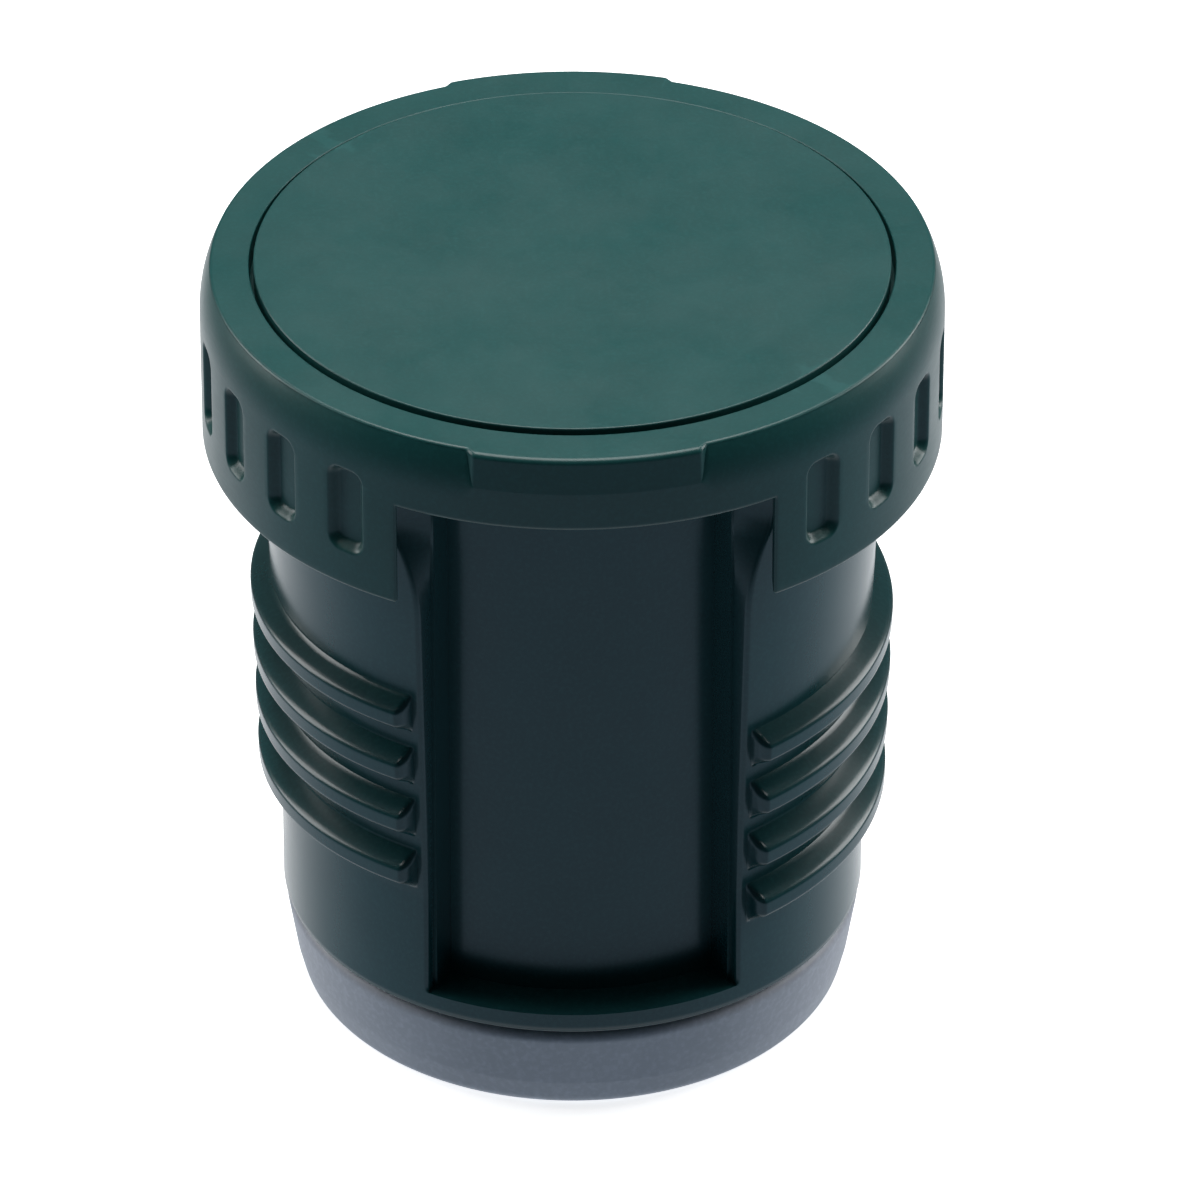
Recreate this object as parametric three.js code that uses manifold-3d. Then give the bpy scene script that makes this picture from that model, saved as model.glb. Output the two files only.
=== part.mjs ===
// A pour-through screw stopper for a vacuum flask.
// Units are millimetres and +Z is up. The origin is the centre of the underside, and the two
// pour channels face -Y (front) and +Y (back). Angles are taken around Z from the front, -Y,
// towards +X. The stopper is a grip head over a hollow plug: the plug carries the screw thread
// and the pour channels, holds an insulating core, and is closed below by a cap whose spigot
// carries a soft seal that pulls off downwards for washing.

import * as THREE from 'three';
import { mergeVertices } from 'three/addons/utils/BufferGeometryUtils.js';
import Module from 'manifold-3d';

const wasm = await Module();
wasm.setup();

// ---- driving dimensions ----

const HEIGHT = 65.5; // of the grip head's top face
const HEAD_RADIUS = 29;
const FIT_GAP = 0.3; // between pieces that touch on the real object

const RING_STEPS = 60; // facets around the axis
const degrees = Math.PI / 180;

// grip head
const RIM_RADIUS = 28.1; // top face, between the two lobes
const RIM_DROP = 4; // the rim curves in from the skirt over this height
const SKIRT_BOTTOM = HEIGHT - 15;
const SKIRT_INNER_RADIUS = 27;
const WEB_UNDERSIDE = 60.5; // the plate that joins the skirt to the plug
const WEB_TOP = 62.3;
const WEB_BORE_RADIUS = 15.3;
const LOBE_HALF_ANGLE = 18.5 * degrees;
const LOBE_TOP_RADIUS = 28.75; // the lobes lean in much less than the rim
const LOBE_DROP = 2.9;
const MOUTH_TOP = HEIGHT - 6.2; // upper edge of the skirt's front and back openings
const MOUTH_HALF_WIDTH = 14.35;

// finger pockets around the skirt
const POCKET_WIDTH = 3.2;
const POCKET_BOTTOM = 53.9;
const POCKET_TOP = 61.25;
const POCKET_CORNER = 1.1;
const POCKET_DEPTH = 0.75;
const POCKETS_PER_QUARTER = 4;
const FIRST_POCKET_ANGLE = 39 * degrees;
const POCKET_SPACING = 13.65 * degrees;

// top disc
const DISC_RECESS_RADIUS = 25.1;
const DISC_RADIUS = 24.75;
const DISC_THICKNESS = 1.7;
const DISC_PROUD = 0.3; // how far the disc stands above the head's top face
const DISC_LEDGE_RADIUS = 23.6;
const DISC_RING_OUTER = 23.2;
const DISC_RING_INNER = 21.8;

// plug
const PLUG_BOTTOM = 8.2;
const PLUG_TOP = WEB_UNDERSIDE - FIT_GAP;
const PLUG_FOOT_RADIUS = 23.25;
const PLUG_WAIST = 19; // the plug is cylindrical below this height and drafted above it
const PLUG_TOP_RADIUS = 24.6;
const PLUG_WALL = 2;
const PLUG_ROOF = 2; // thickness of the plug's top wall
const BOSS_RADIUS = WEB_BORE_RADIUS - FIT_GAP;
const BOSS_TOP = WEB_TOP;

// pour channels
const CHANNEL_FLOOR_RADIUS = 20;
const CHANNEL_SILL = 10;
const CHANNEL_ROOF = 58.4;
const CHANNEL_HALF_ANGLE = 31.7 * degrees;
const CHANNEL_REBATE_RADIUS = 22.6; // outside this radius the channel is a little wider
const REBATE_HALF_ANGLE = 32.4 * degrees;
const FLARE_HALF_ANGLE = 36 * degrees;
const FLARE_START = 45; // the rebate widens from here up to the channel's roof

// screw thread, one start, right-handed
const THREAD_PITCH = 5;
const THREAD_FRONT_HEIGHT = 37.86; // crest edge of the first turn, carried round to the front
const THREAD_TURNS = 4;
const CREST_TOP_RADIUS = 25.75;
const CREST_BOTTOM_RADIUS = 25.3;
const CREST_HEIGHT = 1.35;
const UPPER_FLANK_DROP = 0.75;
const LOWER_FLANK_DROP = 0.8;
const THREAD_EMBED = 0.8; // how far a ridge runs into the plug's wall
const THREAD_END_ANGLE = 34 * degrees; // ridges stop here on both sides of each channel
const THREAD_RUNOUT = 2.4 * degrees;
const THREAD_STATIONS = 16;

// base cap and seal
const CAP_UNDERSIDE = 1.2;
const CAP_FLOOR = 2;
const SPIGOT_RADIUS = 17.2;
const SPIGOT_WALL = 2;
const CAP_FLANGE_RADIUS = 19.6;
const CAP_FLANGE_TOP = PLUG_BOTTOM - FIT_GAP;
const CAP_FLANGE_THICKNESS = 1.3;
const CAP_TOP = 13;
const PLUG_BORE_RADIUS = SPIGOT_RADIUS + FIT_GAP;
const PLUG_BORE_TOP = CAP_TOP + FIT_GAP;
const SEAL_TOP = PLUG_BOTTOM - FIT_GAP;
const SEAL_TOP_RADIUS = 23.2;
const SEAL_FOOT_RADIUS = 21.7;
const SEAL_BORE_RADIUS = SPIGOT_RADIUS + FIT_GAP;
const SEAL_RECESS_RADIUS = CAP_FLANGE_RADIUS + FIT_GAP;
const SEAL_RECESS_FLOOR = CAP_FLANGE_TOP - CAP_FLANGE_THICKNESS - FIT_GAP;

// ---- solids ----

// A closed geometry as a manifold solid with its faces outwards.
function solid(geometry) {
  const bare = geometry.clone();
  bare.deleteAttribute('normal');
  bare.deleteAttribute('uv');
  const merged = mergeVertices(bare, 1e-4);
  const position = merged.attributes.position;
  const index = Array.from(merged.index.array);
  const corners = [];
  let volume = 0;
  for (let i = 0; i < index.length; i += 3) {
    const [a, b, c] = index.slice(i, i + 3);
    if (a === b || b === c || c === a) continue;
    corners.push(a, b, c);
    const [p, q, r] = [a, b, c].map((k) => new THREE.Vector3().fromBufferAttribute(position, k));
    volume += p.dot(q.cross(r));
  }
  if (volume < 0) corners.reverse();
  return new wasm.Manifold(new wasm.Mesh({
    numProp: 3,
    vertProperties: new Float32Array(position.array),
    triVerts: new Uint32Array(corners),
  }));
}

// A solid turned from an [radius, height] outline around Z. The outline runs from axis to
// axis, or is closed here.
function turned(outline, steps = RING_STEPS) {
  const points = outline.map(([radius, height]) => new THREE.Vector2(radius, height));
  const touchesAxis = points[0].x === 0 && points[points.length - 1].x === 0;
  if (!touchesAxis) points.push(points[0].clone());
  const geometry = new THREE.LatheGeometry(points, steps);
  geometry.rotateX(Math.PI / 2);
  return solid(geometry);
}

// A quarter-round or other arc of an outline, as [radius, height] points.
function arc(centreRadius, centreHeight, size, fromDegrees, toDegrees, steps = 4) {
  const points = [];
  for (let i = 0; i <= steps; i += 1) {
    const angle = (fromDegrees + ((toDegrees - fromDegrees) * i) / steps) * degrees;
    points.push([centreRadius + size * Math.cos(angle), centreHeight + size * Math.sin(angle)]);
  }
  return points;
}

// A wedge with its edge on the axis, centred on the front, whose half angle can change with
// height. It is a prism on a triangle, with the top triangle widened.
function wedge(halfAngleBottom, halfAngleTop, bottom, top) {
  const reach = 2 * HEAD_RADIUS;
  const shape = new THREE.Shape([
    new THREE.Vector2(0, 0),
    new THREE.Vector2(-1, -1),
    new THREE.Vector2(1, -1),
  ]);
  const geometry = new THREE.ExtrudeGeometry(shape, { depth: 1, bevelEnabled: false });
  const position = geometry.attributes.position;
  for (let i = 0; i < position.count; i += 1) {
    const atTop = position.getZ(i) > 0.5;
    const half = Math.tan(atTop ? halfAngleTop : halfAngleBottom);
    position.setX(i, position.getX(i) * reach * half);
    position.setY(i, position.getY(i) * reach);
    position.setZ(i, atTop ? top : bottom);
  }
  return solid(geometry);
}

// The same solid at the front and, turned half way round, at the back.
function frontAndBack(piece) {
  return piece.add(piece.rotate([0, 0, 180]));
}

// A plain tube section between two radii and two heights.
function band(innerRadius, outerRadius, bottom, top) {
  return turned([
    [innerRadius, bottom],
    [outerRadius, bottom],
    [outerRadius, top],
    [innerRadius, top],
  ]);
}

// ---- grip head ----

// The rim's outline from the skirt up to its rounded top edge: a parabola.
function rimCurve() {
  const steps = 5;
  const points = [];
  for (let i = 0; i <= steps; i += 1) {
    const rise = (i / steps) * (RIM_DROP - 0.3);
    const lean = (HEAD_RADIUS - RIM_RADIUS) * (rise / RIM_DROP) ** 2;
    points.push([HEAD_RADIUS - lean, HEIGHT - RIM_DROP + rise]);
  }
  return points;
}

function headBody() {
  return turned([
    [WEB_BORE_RADIUS, WEB_UNDERSIDE],
    ...arc(SKIRT_INNER_RADIUS - 0.8, WEB_UNDERSIDE - 0.8, 0.8, 90, 0, 3),
    ...arc(SKIRT_INNER_RADIUS + 0.3, SKIRT_BOTTOM + 0.3, 0.3, 180, 270, 2),
    ...arc(HEAD_RADIUS - 0.4, SKIRT_BOTTOM + 0.4, 0.4, 270, 360, 3),
    ...rimCurve(),
    [RIM_RADIUS - 0.25, HEIGHT],
    [DISC_RECESS_RADIUS, HEIGHT],
    [DISC_RECESS_RADIUS, HEIGHT - DISC_THICKNESS - 0.1],
    [DISC_LEDGE_RADIUS, HEIGHT - DISC_THICKNESS - 0.1],
    [DISC_LEDGE_RADIUS, WEB_TOP],
    [WEB_BORE_RADIUS, WEB_TOP],
  ]);
}

// The rim stands out, nearly to the skirt's radius, over each opening.
function lobes() {
  const bottom = HEIGHT - LOBE_DROP - 0.4;
  const ring = turned([
    [RIM_RADIUS - 1, bottom],
    [HEAD_RADIUS - 0.2, bottom],
    [HEAD_RADIUS, HEIGHT - LOBE_DROP],
    [LOBE_TOP_RADIUS, HEIGHT - 0.35],
    [LOBE_TOP_RADIUS - 0.3, HEIGHT],
    [RIM_RADIUS - 1, HEIGHT],
  ]);
  const sector = wedge(LOBE_HALF_ANGLE, LOBE_HALF_ANGLE, bottom - 1, HEIGHT + 1);
  return frontAndBack(ring.intersect(sector));
}

// Openings in the skirt that let the pour channels out, with parallel sides.
function mouths() {
  const cut = new THREE.BoxGeometry(2 * MOUTH_HALF_WIDTH, HEAD_RADIUS, MOUTH_TOP - SKIRT_BOTTOM + 1);
  cut.translate(0, -HEAD_RADIUS, (MOUTH_TOP + SKIRT_BOTTOM - 1) / 2);
  const reachIn = SKIRT_INNER_RADIUS * Math.cos(Math.asin(MOUTH_HALF_WIDTH / SKIRT_INNER_RADIUS)) - 1;
  const keepOut = band(reachIn, HEAD_RADIUS + 5, SKIRT_BOTTOM - 1, MOUTH_TOP);
  return frontAndBack(solid(cut).intersect(keepOut));
}

// One upright finger pocket with round corners, at the front.
function pocket() {
  const side = POCKET_WIDTH / 2 - POCKET_CORNER;
  const low = POCKET_BOTTOM + POCKET_CORNER;
  const high = POCKET_TOP - POCKET_CORNER;
  const outline = new THREE.Shape();
  outline.absarc(side, high, POCKET_CORNER, 0, Math.PI / 2);
  outline.absarc(-side, high, POCKET_CORNER, Math.PI / 2, Math.PI);
  outline.absarc(-side, low, POCKET_CORNER, Math.PI, 1.5 * Math.PI);
  outline.absarc(side, low, POCKET_CORNER, 1.5 * Math.PI, 2 * Math.PI);
  const depth = POCKET_DEPTH + 1;
  const geometry = new THREE.ExtrudeGeometry(outline, { depth, bevelEnabled: false, curveSegments: 3 });
  geometry.rotateX(Math.PI / 2);
  geometry.translate(0, -(HEAD_RADIUS - POCKET_DEPTH), 0);
  return solid(geometry);
}

// Four pockets in each quarter of the skirt, with a wider plain stretch at the two sides.
function pocketAngles() {
  const angles = [];
  for (let i = 0; i < POCKETS_PER_QUARTER; i += 1) {
    const angle = FIRST_POCKET_ANGLE + i * POCKET_SPACING;
    angles.push(angle, Math.PI - angle, -angle, angle - Math.PI);
  }
  return angles;
}

function gripHead() {
  let head = headBody().add(lobes()).subtract(mouths());
  for (const angle of pocketAngles()) {
    head = head.subtract(pocket().rotate([0, 0, angle / degrees]));
  }
  return head;
}

// ---- top disc ----

// The disc lies in the head's rim and stands a little above it, with a short ring below that
// centres it.
function topDisc() {
  const top = HEIGHT + DISC_PROUD;
  const underside = HEIGHT - DISC_THICKNESS + 0.2;
  const ringBottom = WEB_TOP + 0.25;
  return turned([
    [0, underside],
    [DISC_RING_INNER, underside],
    [DISC_RING_INNER, ringBottom],
    [DISC_RING_OUTER, ringBottom],
    [DISC_RING_OUTER, underside],
    [DISC_RADIUS, underside],
    [DISC_RADIUS, top - 0.2],
    [DISC_RADIUS - 0.2, top],
    [0, top],
  ]);
}

// ---- threaded plug ----

// The plug's outer radius at a height.
function plugRadius(height) {
  const drafted = Math.max(0, (height - PLUG_WAIST) / (PLUG_TOP - PLUG_WAIST));
  return PLUG_FOOT_RADIUS + (PLUG_TOP_RADIUS - PLUG_FOOT_RADIUS) * drafted;
}

function plugShell() {
  const outer = turned([
    [0, PLUG_BOTTOM],
    [PLUG_FOOT_RADIUS - 0.3, PLUG_BOTTOM],
    [PLUG_FOOT_RADIUS, PLUG_BOTTOM + 0.3],
    [PLUG_FOOT_RADIUS, PLUG_WAIST],
    [PLUG_TOP_RADIUS, PLUG_TOP],
    [BOSS_RADIUS, PLUG_TOP],
    [BOSS_RADIUS, BOSS_TOP],
    [0, BOSS_TOP],
  ]);
  return outer.subtract(frontAndBack(channel()));
}

// The pour channel at the front: a floor round the axis, near-radial sides with a small
// rebate along their outer edge, and a flare where it passes inside the skirt.
function channel() {
  const outside = HEAD_RADIUS;
  const deep = band(CHANNEL_FLOOR_RADIUS, outside, CHANNEL_SILL, CHANNEL_ROOF)
    .intersect(wedge(CHANNEL_HALF_ANGLE, CHANNEL_HALF_ANGLE, CHANNEL_SILL - 1, CHANNEL_ROOF + 1));
  const rebate = band(CHANNEL_REBATE_RADIUS, outside, CHANNEL_SILL, FLARE_START)
    .intersect(wedge(REBATE_HALF_ANGLE, REBATE_HALF_ANGLE, CHANNEL_SILL - 1, FLARE_START + 1));
  const flare = band(CHANNEL_REBATE_RADIUS, outside, FLARE_START - 0.01, CHANNEL_ROOF)
    .intersect(wedge(REBATE_HALF_ANGLE, FLARE_HALF_ANGLE, FLARE_START - 0.01, CHANNEL_ROOF));
  return deep.add(rebate).add(flare);
}

// The inside of the plug, smaller all round by an inset: a round bore at the bottom for the
// base cap, and above it a chamber that keeps one wall thickness behind each channel.
function plugInside(inset) {
  const wall = PLUG_WALL + inset;
  const bore = PLUG_BORE_RADIUS - inset;
  const chamberFloor = PLUG_BORE_TOP + inset;
  const roof = PLUG_TOP - PLUG_ROOF - inset;
  const round = turned([
    [0, PLUG_BOTTOM - 1],
    [bore, PLUG_BOTTOM - 1],
    [bore, chamberFloor],
    [PLUG_FOOT_RADIUS - wall, chamberFloor],
    [PLUG_FOOT_RADIUS - wall, PLUG_WAIST],
    [PLUG_TOP_RADIUS - wall, roof],
    [0, roof],
  ]);
  const halfAngle = FLARE_HALF_ANGLE + Math.asin(wall / CHANNEL_FLOOR_RADIUS);
  const backing = band(CHANNEL_FLOOR_RADIUS - wall, HEAD_RADIUS, chamberFloor - 1, PLUG_TOP)
    .intersect(wedge(halfAngle, halfAngle, chamberFloor - 2, PLUG_TOP + 1));
  return round.subtract(frontAndBack(backing));
}

// Corners of the thread's section at one place: [radius, height above the crest edge].
function threadSection(crestRadius, crestEdge) {
  const root = plugRadius(crestEdge) - THREAD_EMBED;
  const embedSlope = THREAD_EMBED * (UPPER_FLANK_DROP / (crestRadius - plugRadius(crestEdge)));
  return [
    [root, UPPER_FLANK_DROP + embedSlope],
    [crestRadius - 0.25, 0.06],
    [crestRadius, -0.2],
    [crestRadius, 0.2 - CREST_HEIGHT],
    [crestRadius - 0.25, -CREST_HEIGHT],
    [root, -CREST_HEIGHT - LOWER_FLANK_DROP],
  ];
}

// The angles at which a ridge's section is placed: evenly spaced, and closer at both ends,
// where the crest rises over a short angle.
function ridgeStations(fromAngle, toAngle) {
  const ends = [0, 0.15, 0.45, 1].map((part) => part * THREAD_RUNOUT);
  const stations = ends.map((offset) => fromAngle + offset);
  const middle = toAngle - fromAngle - 2 * THREAD_RUNOUT;
  for (let i = 1; i < THREAD_STATIONS; i += 1) {
    stations.push(fromAngle + THREAD_RUNOUT + (middle * i) / THREAD_STATIONS);
  }
  return stations.concat(ends.reverse().map((offset) => toAngle - offset));
}

// One ridge of the thread between the front and back channels, as a closed ring of quads.
// At its ends the crest sinks into the plug's wall.
function threadRidge(fromAngle, toAngle, frontHeight) {
  const vertices = [];
  const triangles = [];
  const ringSize = 6;
  const stations = ridgeStations(fromAngle, toAngle);
  stations.forEach((angle, i) => {
    const crestEdge = frontHeight + (THREAD_PITCH * angle) / (2 * Math.PI);
    const toEnd = Math.min(angle - fromAngle, toAngle - angle) / THREAD_RUNOUT;
    const fullness = Math.sqrt(Math.max(0, 1 - (1 - Math.min(1, toEnd)) ** 2));
    const along = (crestEdge - PLUG_WAIST) / (THREAD_FRONT_HEIGHT - PLUG_WAIST);
    const full = CREST_BOTTOM_RADIUS + (CREST_TOP_RADIUS - CREST_BOTTOM_RADIUS) * along;
    const wall = plugRadius(crestEdge);
    for (const [radius, rise] of threadSection(full, crestEdge)) {
      const sunk = radius > wall ? wall - 0.1 + (radius - wall + 0.1) * fullness : radius;
      vertices.push(sunk * Math.sin(angle), -sunk * Math.cos(angle), crestEdge + rise);
    }
    if (i === 0) return;
    for (let k = 0; k < ringSize; k += 1) {
      const here = i * ringSize + k;
      const next = i * ringSize + ((k + 1) % ringSize);
      triangles.push(here, next, here - ringSize, next, next - ringSize, here - ringSize);
    }
  });
  const last = (stations.length - 1) * ringSize;
  for (let k = 1; k < ringSize - 1; k += 1) {
    triangles.push(0, k, k + 1);
    triangles.push(last, last + k + 1, last + k);
  }
  const geometry = new THREE.BufferGeometry();
  geometry.setAttribute('position', new THREE.Float32BufferAttribute(vertices, 3));
  geometry.setIndex(triangles);
  return solid(geometry);
}

// All the ridges of the one helix: four on each side, each an arc between the channels. The
// helix climbs towards +X across the front, so the -X side starts at the first turn's height.
function thread() {
  let ridges = null;
  for (let turn = 0; turn < THREAD_TURNS; turn += 1) {
    const drop = turn * THREAD_PITCH;
    const left = threadRidge(THREAD_END_ANGLE - Math.PI, -THREAD_END_ANGLE, THREAD_FRONT_HEIGHT - drop);
    const rightFront = THREAD_FRONT_HEIGHT - THREAD_PITCH - drop;
    const right = threadRidge(THREAD_END_ANGLE, Math.PI - THREAD_END_ANGLE, rightFront);
    ridges = ridges ? ridges.add(left).add(right) : left.add(right);
  }
  return ridges;
}

function threadedPlug() {
  return plugShell().subtract(plugInside(0)).add(thread());
}

// ---- insulating core ----

// A foam fill that follows the plug's chamber and fills the base cap's cup, with a fit gap.
function foamCore() {
  const foot = turned([
    [0, CAP_UNDERSIDE + CAP_FLOOR + FIT_GAP],
    [SPIGOT_RADIUS - SPIGOT_WALL - FIT_GAP, CAP_UNDERSIDE + CAP_FLOOR + FIT_GAP],
    [SPIGOT_RADIUS - SPIGOT_WALL - FIT_GAP, PLUG_BORE_TOP + 1],
    [0, PLUG_BORE_TOP + 1],
  ]);
  const aboveCap = band(0, HEAD_RADIUS, PLUG_BORE_TOP + FIT_GAP, PLUG_TOP);
  return plugInside(FIT_GAP).intersect(aboveCap).add(foot);
}

// ---- base cap ----

// A cup that closes the plug below. Its wall stands in the plug's bore, a flange lies against
// the plug's foot, and below the flange the wall is the spigot that carries the seal.
function baseCap() {
  const inner = SPIGOT_RADIUS - SPIGOT_WALL;
  return turned([
    [0, CAP_UNDERSIDE],
    [SPIGOT_RADIUS - 0.5, CAP_UNDERSIDE],
    [SPIGOT_RADIUS, CAP_UNDERSIDE + 0.5],
    [SPIGOT_RADIUS, CAP_FLANGE_TOP - CAP_FLANGE_THICKNESS],
    [CAP_FLANGE_RADIUS, CAP_FLANGE_TOP - CAP_FLANGE_THICKNESS],
    [CAP_FLANGE_RADIUS, CAP_FLANGE_TOP],
    [SPIGOT_RADIUS, CAP_FLANGE_TOP],
    [SPIGOT_RADIUS, CAP_TOP],
    [inner, CAP_TOP],
    [inner, CAP_UNDERSIDE + CAP_FLOOR],
    [0, CAP_UNDERSIDE + CAP_FLOOR],
  ]);
}

// ---- bottom seal ----

// A thick soft ring with a tapered outside and a rounded foot, recessed for the cap's flange.
function bottomSeal() {
  return turned([
    [SEAL_BORE_RADIUS, 0.5],
    [SEAL_BORE_RADIUS + 0.5, 0],
    ...arc(SEAL_FOOT_RADIUS - 1.2, 1.2, 1.2, -90, -15, 3),
    ...arc(SEAL_TOP_RADIUS - 0.8, SEAL_TOP - 0.8, 0.8, -10, 90, 3),
    [SEAL_RECESS_RADIUS, SEAL_TOP],
    [SEAL_RECESS_RADIUS, SEAL_RECESS_FLOOR],
    [SEAL_BORE_RADIUS, SEAL_RECESS_FLOOR],
  ]);
}

// ---- materials and assembly ----

function plastic(colour, roughness) {
  return new THREE.MeshStandardMaterial({ color: colour, roughness, metalness: 0 });
}

const rimGreen = plastic(0x1f4a49, 0.4);
const bodyGreen = plastic(0x1c2f30, 0.35);
const discGreen = plastic(0x1f4a49, 0.42);
const foamCream = plastic(0xe6dfc4, 0.95);
const capGreen = plastic(0x1c2f30, 0.4);
const sealGrey = plastic(0x77777f, 0.7);

function node(name, piece, material) {
  const { numProp, vertProperties, triVerts } = piece.getMesh();
  const position = [];
  for (let i = 0; i < vertProperties.length; i += numProp) {
    position.push(vertProperties[i], vertProperties[i + 1], vertProperties[i + 2]);
  }
  const geometry = new THREE.BufferGeometry();
  geometry.setAttribute('position', new THREE.Float32BufferAttribute(position, 3));
  geometry.setIndex(Array.from(triVerts));
  geometry.computeVertexNormals();
  const mesh = new THREE.Mesh(geometry, material);
  mesh.name = name;
  return mesh;
}

const stopper = new THREE.Group();
stopper.add(node('grip_head', gripHead(), rimGreen));
stopper.add(node('top_disc', topDisc(), discGreen));
stopper.add(node('threaded_plug', threadedPlug(), bodyGreen));
stopper.add(node('insulating_core', foamCore(), foamCream));
stopper.add(node('base_cap', baseCap(), capGreen));
stopper.add(node('bottom_seal', bottomSeal(), sealGrey));

export default stopper;
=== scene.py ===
import math

import bmesh
import bpy
import numpy as np
from mathutils import Matrix, Vector


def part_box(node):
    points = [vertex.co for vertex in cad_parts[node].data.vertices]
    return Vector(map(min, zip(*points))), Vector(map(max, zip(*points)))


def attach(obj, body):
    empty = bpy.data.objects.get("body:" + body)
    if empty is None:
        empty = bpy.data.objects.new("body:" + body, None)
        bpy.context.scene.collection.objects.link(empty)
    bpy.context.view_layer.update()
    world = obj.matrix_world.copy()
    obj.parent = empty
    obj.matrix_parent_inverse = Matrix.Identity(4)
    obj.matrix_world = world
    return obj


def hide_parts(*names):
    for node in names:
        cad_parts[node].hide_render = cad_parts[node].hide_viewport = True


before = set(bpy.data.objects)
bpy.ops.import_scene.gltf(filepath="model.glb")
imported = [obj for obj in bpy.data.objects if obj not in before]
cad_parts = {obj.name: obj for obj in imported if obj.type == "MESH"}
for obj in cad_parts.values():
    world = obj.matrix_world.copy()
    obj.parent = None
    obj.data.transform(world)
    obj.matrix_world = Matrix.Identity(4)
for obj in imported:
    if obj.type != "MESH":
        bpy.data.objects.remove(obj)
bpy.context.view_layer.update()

# A vacuum flask stopper. Lengths below are in millimetres, as the part was drawn, and become
# metres in make_piece(). Angles run round +Z from the front, -Y, towards +X. Most pieces are
# sheets of [outline point, angle]: an outline of (radius, height) points, carried round the axis.

MM = 0.001


def reach(node):
    """A CAD node's largest radius, lowest point and highest point, in millimetres."""
    low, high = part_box(node)
    return high.x / MM, low.z / MM, high.z / MM


HEAD_RADIUS, SKIRT_BOTTOM, HEIGHT = reach("grip_head")
DISC_RADIUS, DISC_RING_BOTTOM, DISC_TOP = reach("top_disc")
CREST_RADIUS, PLUG_BOTTOM, BOSS_TOP = reach("threaded_plug")
CAP_RADIUS, CAP_UNDERSIDE, CAP_TOP = reach("base_cap")
SEAL_RADIUS, SEAL_BOTTOM, SEAL_TOP = reach("bottom_seal")
FIT_GAP = 0.3
FULL_TURN = 2 * math.pi

# grip head
SKIRT_THICKNESS = 2
SKIRT_INNER = HEAD_RADIUS - SKIRT_THICKNESS
RIM_RADIUS = HEAD_RADIUS - 0.9  # between the lobes, at the top
LOBE_RADIUS = HEAD_RADIUS - 0.25  # on a lobe, at the top
DISC_RECESS_RADIUS = DISC_RADIUS + 0.35
DISC_THICKNESS = 1.7
LEDGE_RADIUS = DISC_RADIUS - 1.15
RIM_START = DISC_RECESS_RADIUS + 1.3  # where the head's flat top face begins
WEB_BORE_RADIUS = 15.3
WEB_TOP = BOSS_TOP
WEB_UNDERSIDE = HEIGHT - 5
MOUTH_TOP = HEIGHT - 6.2
MOUTH_HALF_WIDTH = 14.35
EDGE = 0.35  # radius of the skirt's rounded lower edge and of the openings' edges
LOBE_HALF_ANGLE = math.radians(18.5)
POCKET_WIDTH = 3.5
POCKET_BOTTOM = SKIRT_BOTTOM + 3.2
POCKET_TOP = HEIGHT - 4.15
POCKET_DEPTH = 0.75
POCKET_CORNER = 1.2
POCKET_EDGE = 0.75  # width of a pocket's sloping sides, with their rounded edges
FIRST_POCKET = 39  # degrees
POCKET_SPACING = 13.65  # degrees
POCKETS_PER_QUARTER = 4

# plug
PLUG_TOP = WEB_UNDERSIDE - FIT_GAP
PLUG_FOOT_RADIUS = 23.25
PLUG_WAIST = 19
PLUG_TOP_RADIUS = 24.6
PLUG_WALL = 2
BOSS_RADIUS = WEB_BORE_RADIUS - FIT_GAP
PLUG_BORE_RADIUS = 17.5
PLUG_BORE_TOP = CAP_TOP + FIT_GAP
CHANNEL_FLOOR_RADIUS = 20
CHANNEL_SILL = 10
CHANNEL_ROOF = 58.4
CHANNEL_HALF_ANGLE = 30.9  # degrees
CHANNEL_STEP = 0.02  # the channel's sides are near radial: each takes this little of the way round
CHANNEL_END_SLOPE = 40  # its sill and roof are near level: radius gained in a millimetre of height
CHANNEL_CORNER = 0.4  # radius of the edge where a channel's side meets the plug's wall
REBATE_RADIUS = 22.3  # a narrow step along each side of a channel
REBATE_WIDTH = 0.26
FLARE_START = 45.5
FLARE_HEIGHT = 8  # above FLARE_START the channels widen over this height
FLARE_WIDTH = math.radians(4.9)
FLARE_REACH = 6  # how far round from a channel the flare moves the wall
BACKING_HALF_ANGLE = math.radians(42)  # inside, the wall behind a channel reaches this far

# thread
PITCH = 5
FIRST_CREST = 37.86  # height of the first turn's crest edge, carried round to the front
TURNS = 4
CREST_BOTTOM_RADIUS = CREST_RADIUS - 0.45
CREST_ABOVE = 0.12  # a ridge is widest from this far above its crest edge's height
CREST_BELOW = 1.15  # to this far below it
CREST_LEAN = 0.02
UPPER_SLOPE = 1.95  # radius lost in a millimetre of height, beyond the crest
LOWER_SLOPE = 1.45
THREAD_END = 33.7  # degrees
THREAD_RUNOUT = 1.6  # degrees
THREAD_FADE = (CHANNEL_SILL + 1.2, 16)  # below the thread, rows turn level between these heights
THREAD_START = (FIRST_CREST + 1.2, FIRST_CREST + 6)  # and above it between these

# base cap
SPIGOT_RADIUS = 17.2
SPIGOT_WALL = 2
FLANGE_TOP = PLUG_BOTTOM - FIT_GAP
FLANGE_THICKNESS = 1.3

# bottom seal
SEAL_FOOT_RADIUS = 21.7
SEAL_SHOULDER = (22.35, 2.6)  # radius and height where its side turns to its shallower taper

# meshes
SHARP_ANGLE = math.radians(40)  # an edge that turns by more than this isn't shaded smooth
LATHE_COLUMNS = 240
SAME_ANGLE = 1e-6  # columns closer than this, in radians, are one and the same


# ---- outlines and sheets ----


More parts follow.
